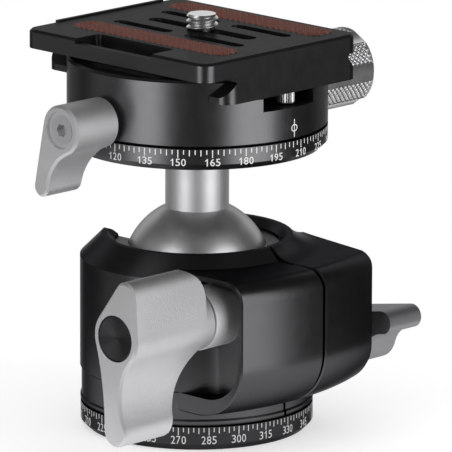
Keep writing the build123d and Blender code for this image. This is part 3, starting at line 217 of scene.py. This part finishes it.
def metal(name, colour, rough, metallic=1.0, specular=0.5, grain=0.1, grain_mm=0.16,
          streak=0.0, rim=1.0):
    """Blasted or turned metal, or a moulded part where metallic is 0.

    The base colour drifts by 14 percent either way over centimetres and the roughness by 0.05
    over millimetres. A noise of `grain_mm` grain drives the bump. `streak` adds turning lines
    round the Z axis: a bump from a noise of the distance from the axis and the height, the
    same all the way round. `rim` is how much of the light comes back at glancing angles."""
    dark_share, light_share, rough_drift = 0.86, 1.14, 0.05
    drift_scale, wear_scale, streak_scale = 70.0, 420.0, 9000.0
    grain_height, streak_height = 0.00004, 0.00002
    material = bpy.data.materials.new(name)
    material.use_nodes = True
    tree = material.node_tree
    shader = tree.nodes["Principled BSDF"]
    shader.inputs["Metallic"].default_value = metallic
    shader.inputs["Specular IOR Level"].default_value = specular
    shader.inputs["Specular Tint"].default_value = (rim, rim, rim, 1.0)
    where = tree.nodes.new("ShaderNodeTexCoord").outputs["Object"]
    tint = blend(tree, noise(tree, where, drift_scale, 3.0), [c * dark_share for c in colour],
                 [min(1.0, c * light_share) for c in colour])
    tree.links.new(tint, shader.inputs["Base Color"])
    gloss = tree.nodes.new("ShaderNodeMapRange")
    gloss.inputs["To Min"].default_value = rough - rough_drift
    gloss.inputs["To Max"].default_value = rough + rough_drift
    tree.links.new(noise(tree, where, wear_scale, 4.0), gloss.inputs["Value"])
    tree.links.new(gloss.outputs["Result"], shader.inputs["Roughness"])
    bump = tree.nodes.new("ShaderNodeBump")
    bump.inputs["Strength"].default_value = grain
    bump.inputs["Distance"].default_value = grain_height
    tree.links.new(noise(tree, where, 1000.0 / grain_mm), bump.inputs["Height"])
    tree.links.new(bump.outputs["Normal"], shader.inputs["Normal"])
    if streak:
        split = tree.nodes.new("ShaderNodeSeparateXYZ")
        flat = tree.nodes.new("ShaderNodeCombineXYZ")
        radius = tree.nodes.new("ShaderNodeVectorMath")
        radius.operation = "LENGTH"
        spot = tree.nodes.new("ShaderNodeCombineXYZ")
        lines = tree.nodes.new("ShaderNodeBump")
        lines.inputs["Strength"].default_value = streak
        lines.inputs["Distance"].default_value = streak_height
        tree.links.new(where, split.inputs[0])
        tree.links.new(split.outputs["X"], flat.inputs["X"])
        tree.links.new(split.outputs["Y"], flat.inputs["Y"])
        tree.links.new(flat.outputs[0], radius.inputs[0])
        tree.links.new(radius.outputs["Value"], spot.inputs["X"])
        tree.links.new(split.outputs["Z"], spot.inputs["Z"])
        tree.links.new(noise(tree, spot.outputs[0], streak_scale), lines.inputs["Height"])
        tree.links.new(bump.outputs["Normal"], lines.inputs["Normal"])
        tree.links.new(lines.outputs["Normal"], shader.inputs["Normal"])
    return material


def dress(material, *names):
    """Gives CAD nodes their material."""
    for name in names:
        mesh = nodes[name].data
        mesh.materials.clear()
        mesh.materials.append(material)


def new_piece(name, points, faces, material, body):
    """Mesh object at the origin that rides on a body; its points are in metres."""
    points = np.asarray(points).reshape(-1, 3).tolist()
    mesh = bpy.data.meshes.new(name)
    mesh.from_pydata(points, [], [list(map(int, f)) for f in faces])
    mesh.update()
    mesh.materials.append(material)
    piece = bpy.data.objects.new(name, mesh)
    bpy.context.scene.collection.objects.link(piece)
    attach(piece, body)
    return piece


# Black anodised, but its base colour, 0.045, is about half that of the other black parts:
# painted shade that keeps the ring dark where it mirrors the white table.
black_ring_painted_shade = metal("black_ring_with_painted_shade", (0.045, 0.045, 0.047), 0.34, grain=0.08,
                   streak=0.10, rim=0.4)
dress(black_ring_painted_shade, "base_ring")


def laser_mark():
    """Chalky white of a laser mark, patchy over a fifth of a millimetre."""
    patch_scale = 5000.0
    material = bpy.data.materials.new("laser_mark_white")
    material.use_nodes = True
    tree = material.node_tree
    shader = tree.nodes["Principled BSDF"]
    shader.inputs["Roughness"].default_value = 0.75
    where = tree.nodes.new("ShaderNodeTexCoord").outputs["Object"]
    whiteness = blend(tree, noise(tree, where, patch_scale), (0.62, 0.62, 0.61),
                      (0.86, 0.86, 0.85))
    tree.links.new(whiteness, shader.inputs["Base Color"])
    return material


mark_paint = laser_mark()
mark_proud = 0.015
tick_half_w = 0.095


def wrap(flat, radius, bearing):
    """Wraps a flat mark in mm round a ring and gives metres.

    (across, up, side) goes to the angle bearing + across / radius, the height up and the
    distance radius + mark_proud * side from the axis; side is 1 outside and -1 inside."""
    turn = math.radians(bearing) + flat[:, 0] / radius
    out = radius + mark_proud * flat[:, 2]
    return np.stack([out * np.cos(turn), out * np.sin(turn), flat[:, 1]], 1) / 1000.0


def bar(half_w, low, high):
    """Flat upright bar as (points, faces), its sides at +1 and -1."""
    points = np.array([(x, y, z) for x in (-half_w, half_w) for y in (low, high)
                       for z in (-1.0, 1.0)])
    return points, [(0, 1, 3, 2), (4, 6, 7, 5), (0, 4, 5, 1), (2, 3, 7, 6), (0, 2, 6, 4),
                    (1, 5, 7, 3)]


def joined(parts):
    """One (points, faces) from several."""
    points, faces, count = [], [], 0
    for corners, sides in parts:
        points.append(corners)
        faces += [tuple(i + count for i in f) for f in sides]
        count += len(corners)
    return np.concatenate(points), faces


def glyph(digit):
    """Flat digit as (points, faces), 1 high and 1 across, its sides at +1 and -1.

    The figure one is a stem with a slanted flag; the others come from the built-in face."""
    if digit == "1":
        rim = np.array([(0.48, 0.0), (0.72, 0.0), (0.72, 1.0), (0.52, 1.0), (0.44, 0.88),
                        (0.14, 0.76), (0.14, 0.63), (0.48, 0.76)])
        count = len(rim)
        points = np.concatenate([np.column_stack([rim, np.full(count, z)]) for z in (1.0, -1.0)])
        faces = [tuple(range(count)), tuple(range(2 * count - 1, count - 1, -1))]
        faces += [(i, count + i, count + (i + 1) % count, (i + 1) % count) for i in range(count)]
        return points, faces
    half_thick = 0.02
    curve = bpy.data.curves.new("digit", "FONT")
    curve.body = digit
    curve.extrude = half_thick
    curve.resolution_u = 4
    holder = bpy.data.objects.new("digit", curve)
    bpy.context.scene.collection.objects.link(holder)
    bpy.context.view_layer.update()
    mesh = bpy.data.meshes.new_from_object(holder)
    points = np.empty(len(mesh.vertices) * 3)
    mesh.vertices.foreach_get("co", points)
    points = points.reshape(-1, 3)
    faces = [tuple(p.vertices) for p in mesh.polygons]
    bpy.data.objects.remove(holder)
    bpy.data.curves.remove(curve)
    bpy.data.meshes.remove(mesh)
    low, high = points.min(0), points.max(0)
    points[:, :2] = (points[:, :2] - low[:2]) / (high - low)[:2]
    points[:, 2] /= half_thick
    return points, faces


digit_shapes = {digit: glyph(digit) for digit in "0123456789"}


def number_outline(text, tall, pitch):
    """A number set from single digits, centred and `tall` high, one `pitch` to each digit.

    A digit takes 0.8 of its pitch and has a gap of 0.1 on either side."""
    digit_share, gap_share = 0.8, 0.1
    parts = []
    for place_in_text, digit in enumerate(text):
        outline, faces = digit_shapes[digit]
        shift = (place_in_text - len(text) / 2 + gap_share) * pitch
        size = (digit_share * pitch, tall, 1.0)
        parts.append((outline * size + (shift, -tall / 2, 0.0), faces))
    return joined(parts)


def scale_marks(name, radius, top, number_z, value_at_x, tall, pitch, body):
    """Degree scale on a ring, in mm: a tick every 2.5 degrees and a number every 15.

    The ticks hang from the height `top`, longer at 5 degrees and longest over a number. The
    numbers are centred on `number_z`; `value_at_x` is the value that stands on the X axis."""
    tick_step, number_step = 2.5, 15
    longest, longer, short = 1.55, 1.2, 0.9
    marks = []
    for step in range(int(360 / tick_step)):
        length = longest if step % 6 == 0 else longer if step % 2 == 0 else short
        points, faces = bar(tick_half_w, top - length, top)
        marks.append((wrap(points, radius, step * tick_step - value_at_x), faces))
    for value in range(0, 360, number_step):
        points, faces = number_outline(str(value), tall, pitch)
        marks.append((wrap(points + (0.0, number_z, 0.0), radius, value - value_at_x), faces))
    points, faces = joined(marks)
    return new_piece(name, points, faces, mark_paint, body)


scale_marks("base_scale_marks", radius=23.4, top=4.82, number_z=2.28, value_at_x=324.4,
            tall=1.62, pitch=1.08, body="base")


# ---------------------------------------------------------------- tripod socket and bearing
# Brass bushing with the 3/8 inch thread, 16 to the inch, pressed through the steel spigot
# whose flange the housing hangs on; screws, washer, retaining ring and slip ring are the
# usual turned parts.

steel = metal("turned_steel", (0.60, 0.60, 0.61), 0.28, grain=0.05, streak=0.15)
brass = metal("turned_brass", (0.72, 0.53, 0.24), 0.30, grain=0.05, streak=0.15)
nylon = metal("white_nylon", (0.78, 0.77, 0.73), 0.48, metallic=0.0, specular=0.4,
              grain=0.12, grain_mm=0.3)
dress(steel, "pan_spigot", "base_screws", "pan_retainer")
dress(nylon, "pan_washer", "pan_slip_ring")


def ring_quads(count, around):
    """Quads between `count` rings of `around` points each."""
    i, j = np.meshgrid(np.arange(count - 1), np.arange(around), indexing="ij")
    k = (j + 1) % around
    corners = [i * around + j, i * around + k, (i + 1) * around + k, (i + 1) * around + j]
    return np.stack(corners, -1).reshape(-1, 4).tolist()


def rings(radius, z, turn, x=0.0, y=0.0):
    """Points of rings about an upright axis; radius is rings by angles, z one value a ring."""
    return np.stack([x + radius * np.cos(turn), y + radius * np.sin(turn),
                     np.broadcast_to(z[:, None], radius.shape)], 2).reshape(-1, 3)


def threaded_bore(name, rows, pitch, depth, material, body, around=48):
    """Turned part with a screw thread in its bore, in mm.

    `rows` are (radius, z, share) round the outline of the cut, back to where they start. At
    angle t a point's radius is radius - share * depth * v, with v the distance of
    (z / pitch - t / full turn) from the nearest whole number, doubled: a V thread that climbs
    one pitch a turn."""
    rows = np.asarray(rows, float)
    share_of_turn = np.arange(around) / around
    phase = rows[:, 1:2] / pitch - share_of_turn
    groove = 2.0 * np.abs(phase - np.round(phase))
    radius = rows[:, 0:1] - rows[:, 2:3] * depth * groove
    points = rings(radius, rows[:, 1], 2 * np.pi * share_of_turn) / 1000.0
    return new_piece(name, points, ring_quads(len(rows), around), material, body)


outer_r, mouth_r, thread_r, socket_deep = 7.5, 5.1, 4.72, 11.6
thread_from, thread_to, thread_rings, thread_deep, thread_pitch = 0.5, 11.1, 100, 0.8, 25.4 / 16
socket = [(outer_r, 0.0, 0.0), (outer_r, socket_deep, 0.0), (mouth_r, socket_deep, 0.0)]
socket += [(thread_r, z, 1.0) for z in np.linspace(thread_from, thread_to, thread_rings)[::-1]]
socket += [(mouth_r, 0.0, 0.0), (outer_r, 0.0, 0.0)]
bushing = threaded_bore("threaded_bushing", socket, thread_pitch, thread_deep, brass, "base")
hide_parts("base_bushing")


# ---------------------------------------------------------------- split housing
# Milled and turned aluminium body, bead blasted and anodised satin black. The slit through
# the block closes on the ball; the liner behind the rim is black nylon and the seat under
# the ball is white nylon.

black_blasted = metal("black_anodised_blasted", (0.092, 0.092, 0.095), 0.31, grain=0.16,
                      grain_mm=0.14, rim=0.25)
dress(black_blasted, "housing")
dress(nylon, "ball_seat")
black_nylon = metal("black_nylon", (0.012, 0.012, 0.012), 0.5, metallic=0.0, specular=0.35,
                    grain=0.1, grain_mm=0.3)
dress(black_nylon, "ball_liner")
dress(brass, "pan_plunger")
# Turned silver, but its base colour, 0.88, is brighter than the other blasted silver, 0.70:
# painted light that lifts the knob collar out of the shade of the recess.
silver_collar_painted_light = metal("silver_collar_with_painted_light", (0.88, 0.88, 0.89), 0.68, grain=0.10, streak=0.10)
dress(silver_collar_painted_light, "knob_collar")


# ---------------------------------------------------------------- main knob
# Winged knob milled from bar, bead blasted and clear anodised, with diamond-cut bevels; a
# turned black cap covers the head of the clamping bolt.

silver_blasted = metal("silver_blasted", (0.70, 0.70, 0.71), 0.57, grain=1.0, grain_mm=0.36,
                       rim=0.5)
dress(silver_blasted, "main_knob")
dress(steel, "clamp_bolt")

cap_black = metal("black_cap", (0.075, 0.075, 0.078), 0.34, grain=0.03, rim=0.4)
cap_tree = cap_black.node_tree
cap_shader = cap_tree.nodes["Principled BSDF"]
cap_shader.inputs["Anisotropic"].default_value = 0.75
lathe = cap_tree.nodes.new("ShaderNodeTangent")
lathe.direction_type = "RADIAL"
lathe.axis = "Y"
cap_tree.links.new(lathe.outputs["Tangent"], cap_shader.inputs["Tangent"])
dress(cap_black, "knob_cap")


# ---------------------------------------------------------------- pan lock
# Small lever on a cone-pointed steel stud, milled, blasted and titanium grey anodised; a
# blackened socket screw holds it.

grey_blasted = metal("grey_blasted", (0.34, 0.34, 0.35), 0.50, grain=0.8, grain_mm=0.30,
                     rim=0.5)
dress(grey_blasted, "pan_lever")
dress(steel, "pan_stud", "pan_spacer")
dark_steel = metal("black_oxide_steel", (0.10, 0.10, 0.105), 0.35, grain=0.06)
dress(dark_steel, "pan_lever_screw")


# ---------------------------------------------------------------- ball and neck
# Hard anodised ball, satin grey, on a bright turned neck that carries the upper scale ring
# and, inside the clamp, the disc that holds the clamp down.

ball_coat = metal("ball_hard_anodised", (0.82, 0.82, 0.825), 0.38, grain=0.20, grain_mm=0.20,
                  rim=0.12)
dress(ball_coat, "ball")
bright_alloy = metal("bright_turned_alloy", (0.80, 0.80, 0.81), 0.52, grain=0.06,
                     streak=0.14, rim=0.35)
dress(bright_alloy, "stem")
dress(steel, "centre_bolt", "retaining_disc", "disc_screw")
black_turned = metal("black_anodised_turned", (0.140, 0.140, 0.144), 0.31, grain=0.10,
                     streak=0.12, rim=0.3)
dress(black_turned, "clamp_scale_ring")
dress(nylon, "clamp_slip_ring")
ring_r = 26.1
scale_marks("clamp_scale_marks", radius=ring_r, top=61.86, number_z=59.38, value_at_x=203.9,
            tall=1.45, pitch=1.12, body="ball")


# ---------------------------------------------------------------- clamp
# Turned aluminium clamp body with the fixed jaw, black anodised; a round index mark is
# lasered over the scale. Springs push the moving jaw open on two guide pins.

dress(black_turned, "clamp_body", "moving_jaw")
dress(brass, "brake_shoe")
dress(steel, "jaw_springs", "guide_pins")


def index_mark(name, radius, bearing, low, high, ring_z, half_w, half_h, line):
    """Index mark on a cylinder, in mm: an upright stroke through an oval ring.

    The oval is the strip between two ellipses whose half axes differ by `line`, and the
    stroke runs from `low` to `high`. Both are wrapped like the scale."""
    count = 40
    t = np.linspace(0, 2 * np.pi, count, endpoint=False)
    oval = np.stack([np.cos(t), np.sin(t)], 1)
    outer = oval * (half_w, half_h)
    inner = oval * (half_w - line, half_h - line)
    loops = [np.column_stack([edge[:, 0], edge[:, 1] + ring_z, np.full(count, lift)])
             for edge, lift in ((outer, 1.0), (inner, 1.0), (inner, -1.0), (outer, -1.0))]
    sides = [(a * count + i, b * count + i, b * count + k, a * count + k)
             for a, b in ((0, 1), (1, 2), (2, 3), (3, 0))
             for i, k in zip(range(count), [*range(1, count), 0])]
    flat, faces = joined([(np.concatenate(loops), sides), bar(line / 2, low, high)])
    points = wrap(flat, radius, bearing)
    return new_piece(name, points, faces, mark_paint, "clamp")


index_mark("clamp_index_mark", radius=ring_r, bearing=1.6, low=62.75, high=66.35, ring_z=64.6,
           half_w=0.86, half_h=0.76, line=0.2)


# ---------------------------------------------------------------- upper lock
# Lever of the clamp's pan lock, milled, blasted and clear anodised, with a dished face round
# the socket screw that holds it on its steel stud.

silver_lever = metal("silver_blasted_lever", (0.76, 0.76, 0.77), 0.57, grain=1.0,
                     grain_mm=0.36, rim=0.5)
dress(silver_lever, "upper_lever")
dress(steel, "upper_stud")
bright_steel = metal("bright_steel", (0.70, 0.70, 0.71), 0.50, grain=0.05, streak=0.10)
dress(bright_steel, "upper_lever_screw")


# ---------------------------------------------------------------- jaw knob
# Round clear-anodised knob, diamond knurled between six smooth flutes; a black cap closes
# its end and its screw draws the jaw in.

silver_bright = metal("silver_machined", (0.66, 0.66, 0.67), 0.36, grain=0.06, grain_mm=0.13)
knob_r, knob_start, knob_length, knob_z = 8.0, 27.6, 16.3, 66.8


def knurled_knob(name, around=420, along=90):
    """Knurled knob as one turned surface about Y, in mm.

    Radius at (turn, along) = rim profile - flute - knurl. The flute is the cylinder of 5 mm
    radius that cuts 0.55 mm deep at each of six places. The knurl is 0.32 * (1 - w), with w
    the product of two triangle waves that climb left and right, 42 round the knob and one in
    1.2 mm along it; it is shown where no flute is, and it fades at both ends."""
    bevel, flute_r, flute_deep, flute_pitch = 0.8, 5.0, 0.55, np.pi / 3
    teeth, tooth_length, tooth_deep, land_fade, end_fade = 42, 1.2, 0.32, 0.25, 0.3
    bore_r, inner_face_r, cap_seat_r, cap_seat_deep = 2.5, 6.0, 4.25, 2.4
    no_cut = 99.0
    rise = np.array([0.0, 0.25, 0.5, 0.75, 1.0])
    y = np.concatenate([rise * bevel, np.linspace(bevel, knob_length - bevel, along)[1:-1],
                        knob_length - bevel + rise * bevel])
    profile = knob_r - np.maximum(0, bevel - y) - np.maximum(0, y - knob_length + bevel)
    turn = np.arange(around) / around * 2 * np.pi
    angle = np.abs(turn % flute_pitch - flute_pitch / 2)
    centre = knob_r + flute_r - flute_deep
    inside = np.clip(flute_r ** 2 - (centre * np.sin(angle)) ** 2, 0, None)
    cut = centre * np.cos(angle) - np.sqrt(inside)
    cut = np.where(centre * np.sin(angle) < flute_r, cut, no_cut)
    land = np.clip((cut - knob_r) / land_fade, 0, 1)
    a = turn[None, :] * teeth / (2 * np.pi) + y[:, None] / tooth_length
    b = turn[None, :] * teeth / (2 * np.pi) - y[:, None] / tooth_length
    wave = (1 - 2 * np.abs(a - np.round(a))) * (1 - 2 * np.abs(b - np.round(b)))
    ends = np.clip(np.minimum(y - bevel, knob_length - bevel - y) / end_fade, 0, 1)
    radius = np.minimum(profile[:, None], cut[None, :])
    radius = radius - land[None, :] * ends[:, None] * tooth_deep * (1 - wave)
    radius = np.stack([np.full(around, bore_r), np.full(around, inner_face_r), *radius,
                       np.full(around, cap_seat_r), np.full(around, cap_seat_r),
                       np.full(around, bore_r)])
    seat_y = knob_length - cap_seat_deep
    y = np.array([0.0, 0.0, *y, knob_length, seat_y, seat_y]) + knob_start
    grid = np.stack([radius * np.sin(turn), np.broadcast_to(y[:, None], radius.shape),
                     knob_z + radius * np.cos(turn)], 2) / 1000.0
    count = len(y)
    i, j = np.meshgrid(np.arange(count), np.arange(around), indexing="ij")
    k, n = (j + 1) % around, (i + 1) % count
    quads = np.stack([i * around + j, n * around + j, n * around + k, i * around + k], -1)
    return new_piece(name, grid, quads.reshape(-1, 4), silver_bright, "jaw_knob")


knob = knurled_knob("knurled_jaw_knob")
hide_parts("jaw_knob")
dress(cap_black, "jaw_knob_cap")
dress(steel, "jaw_screw", "jaw_washer")


# ---------------------------------------------------------------- camera plate
# Dovetail plate milled from bar and anodised black, with two beaded rubber strips glued into
# shallow pockets, stop screws underneath and a strap loop at the near edge.

black_plate = metal("black_anodised_plate", (0.110, 0.110, 0.113), 0.33, grain=0.24,
                    grain_mm=0.20, rim=0.30)
dress(black_plate, "quick_plate")
rubber = metal("brown_rubber", (0.135, 0.040, 0.026), 0.48, metallic=0.0, specular=0.16,
               grain=0.3, grain_mm=0.4)
plate_x, plate_y = -0.5, 1.8


def beaded_strip(name, node, middle_y, across=57, along=330, in_end=14):
    """Rubber strip with a beaded top, in mm: a grid over its outline, a wall and a flat
    underside.

    Half width at x is 3.4, and in the rounded ends 0.8 + sqrt(2.6^2 - (|x| - 18.45)^2). The
    top is 80.48 + 0.32 * |cos(a)| * |cos(b)| * rim, with a and b the two diagonals (x + y and
    x - y, one bead in 1.6 mm) and rim a quarter wave that rises over 0.5 mm from the
    outline."""
    half_l, half_w, corner, bead = 21.05, 3.4, 2.6, 1.6
    foot_z, under_z, bead_tall, rim_w = 80.48, 79.9, 0.32, 0.5
    straight = half_l - corner
    bend = straight + corner * np.sin(np.linspace(0, np.pi / 2, in_end))
    x = np.concatenate([-bend[::-1], np.linspace(-straight, straight, along)[1:-1], bend])
    over = np.clip(np.abs(x) - straight, 0, corner)
    w = half_w - corner + np.sqrt(corner ** 2 - over ** 2)
    v = np.linspace(-1, 1, across)
    grid_x = np.broadcast_to(x[:, None], (len(x), across))
    grid_y = w[:, None] * v[None, :]
    edge = np.minimum(w[:, None] - np.abs(grid_y), half_l - np.abs(grid_x))
    rim = np.sin(np.clip(edge / rim_w, 0, 1) * np.pi / 2)
    beads = (np.abs(np.cos(np.pi * (grid_x + grid_y) / bead))
             * np.abs(np.cos(np.pi * (grid_x - grid_y) / bead)))
    top = np.stack([grid_x + plate_x, grid_y + middle_y, foot_z + bead_tall * beads * rim],
                   2).reshape(-1, 3)
    last = len(x) - 1
    i, j = np.meshgrid(np.arange(last), np.arange(across - 1), indexing="ij")
    here, beyond = i * across + j, (i + 1) * across + j
    faces = np.stack([here, beyond, beyond + 1, here + 1], -1).reshape(-1, 4).tolist()
    loop = [i * across for i in range(last + 1)]
    loop += [last * across + j for j in range(1, across)]
    loop += [i * across + across - 1 for i in range(last - 1, -1, -1)]
    loop += list(range(across - 2, 0, -1))
    under = top[loop] * (1, 1, 0) + (0, 0, under_z)
    first, around = len(top), len(loop)
    faces += [(first + n, first + (n + 1) % around, loop[(n + 1) % around], loop[n])
              for n in range(around)]
    faces.append(tuple(first + n for n in range(around - 1, -1, -1)))
    points = np.concatenate([top, under]) / 1000.0
    strip = new_piece(name, points, faces, rubber, "plate")
    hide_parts(node)


beaded_strip("beaded_pad_near", "pad_near", -11.45)
beaded_strip("beaded_pad_far", "pad_far", 15.45)


def ribbed_screws(name, centres, around=96, ribs=24, rib_deep=0.12):
    """Small stop screws, in mm: a plain shank under the plate and a head whose radius is
    1.85 - rib_deep * v, with v a triangle wave of `ribs` ribs round it.

    The rows are (radius, z, share of the ribs) from the head's underside up."""
    rows = np.array([(0.0, 69.1, 0), (1.7, 69.1, 0), (1.85, 69.3, 1), (1.85, 71.2, 1),
                     (1.75, 71.35, 0), (1.4, 71.4, 0), (1.4, 74.8, 0), (1.1, 75.1, 0),
                     (0.0, 75.1, 0)])
    turn = np.arange(around) / around * 2 * np.pi
    wave = np.abs((turn * ribs / (2 * np.pi)) % 1.0 * 2 - 1)
    radius = rows[:, :1] - rib_deep * rows[:, 2:] * wave[None, :]
    quads = ring_quads(len(rows), around)
    points, faces = joined([(rings(radius, rows[:, 1], turn, x, y), quads) for x, y in centres])
    screws = new_piece(name, points / 1000.0, faces, silver_bright, "plate")
    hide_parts("stop_screws")


ribbed_screws("ribbed_stop_screws", [(22.6, plate_y), (-23.6, plate_y)])


# ---------------------------------------------------------------- camera screw
# Stainless 1/4 inch screw with a slotted head, kept in its slot by a nylon washer. The thread
# is rolled, 20 to the inch, and the head's coin slot faces down.

dress(nylon, "screw_clip")
stainless = metal("rolled_stainless", (0.66, 0.66, 0.66), 0.36, grain=0.04)


def slotted_screw(name, x0, y0, per_arc=45, per_mouth=3, thread_rings=60):
    """Camera screw, in mm: a turned and threaded upper part on a head with a slot across its
    underside.

    The upper part is a grid of rings; between z 80.8 and 83.15 its radius is
    3.175 - 0.5 * v, with v the rounded wave (1 - cos) / 2 of the 1.27 mm pitch. The head's rim
    is cut at the slot's edges, y = +0.6 and -0.6: each half of it has `per_arc` points, and
    the slot's two mouths have `per_mouth` points each."""
    head_r, half_slot, low_z, floor_z, head_z, bevel = 4.6, 0.6, 73.4, 74.7, 75.9, 0.25
    shank_r, neck_r, neck_z, tip_r, dimple_r, tip_z = 1.65, 2.6, 80.55, 2.75, 1.2, 83.6
    thread_r, thread_low, thread_high, thread_deep, pitch = 3.175, 80.8, 83.15, 0.5, 1.27
    cut = math.asin(half_slot / head_r)
    arc = np.linspace(cut, math.pi - cut, per_arc)
    mouth = np.linspace(math.pi - cut, math.pi + cut, per_mouth + 2)[1:-1]
    turn = np.concatenate([arc, mouth, arc + math.pi, mouth + math.pi])
    half, around = per_arc + per_mouth, len(turn)
    ring = np.column_stack([head_r * np.cos(turn), head_r * np.sin(turn)])
    floor_ring = np.column_stack([ring, np.full(around, floor_z)])
    rows = [(head_r, head_z - bevel), (head_r - bevel, head_z), (shank_r, head_z),
            (shank_r, neck_z), (neck_r, neck_z)]
    rows += [(thread_r, z) for z in np.linspace(thread_low, thread_high, thread_rings)]
    rows += [(tip_r, tip_z), (dimple_r, tip_z), (0.0, tip_z)]
    rows = np.array(rows)
    phase = rows[:, 1:2] / pitch - turn[None, :] / (2 * np.pi)
    wave = 0.5 - 0.5 * np.cos(2 * np.pi * phase)
    radius = rows[:, 0:1] - (rows[:, 0:1] == thread_r) * thread_deep * wave
    lips = [np.column_stack([ring[i:i + per_arc], np.full(per_arc, low_z)]) for i in (0, half)]
    points = np.concatenate([floor_ring, rings(radius, rows[:, 1], turn), *lips])
    faces = ring_quads(len(rows) + 1, around)
    first, last = (len(rows) + 1) * around, per_arc - 1
    for start, rim in ((first, 0), (first + per_arc, half)):
        faces += [(start + j, start + j + 1, rim + j + 1, rim + j) for j in range(last)]
        faces.append(tuple(start + j for j in range(last, -1, -1)))
        faces.append((start + last, start, rim, rim + last))
    slot_floor = [0, *range(around - 1, half + last - 1, -1), *range(half, last - 1, -1)]
    faces.append(tuple(slot_floor))
    points = (points + (x0, y0, 0.0)) / 1000.0
    screw = new_piece(name, points, faces, stainless, "camera_screw")
    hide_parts("camera_screw")


slotted_screw("threaded_camera_screw", plate_x, plate_y)
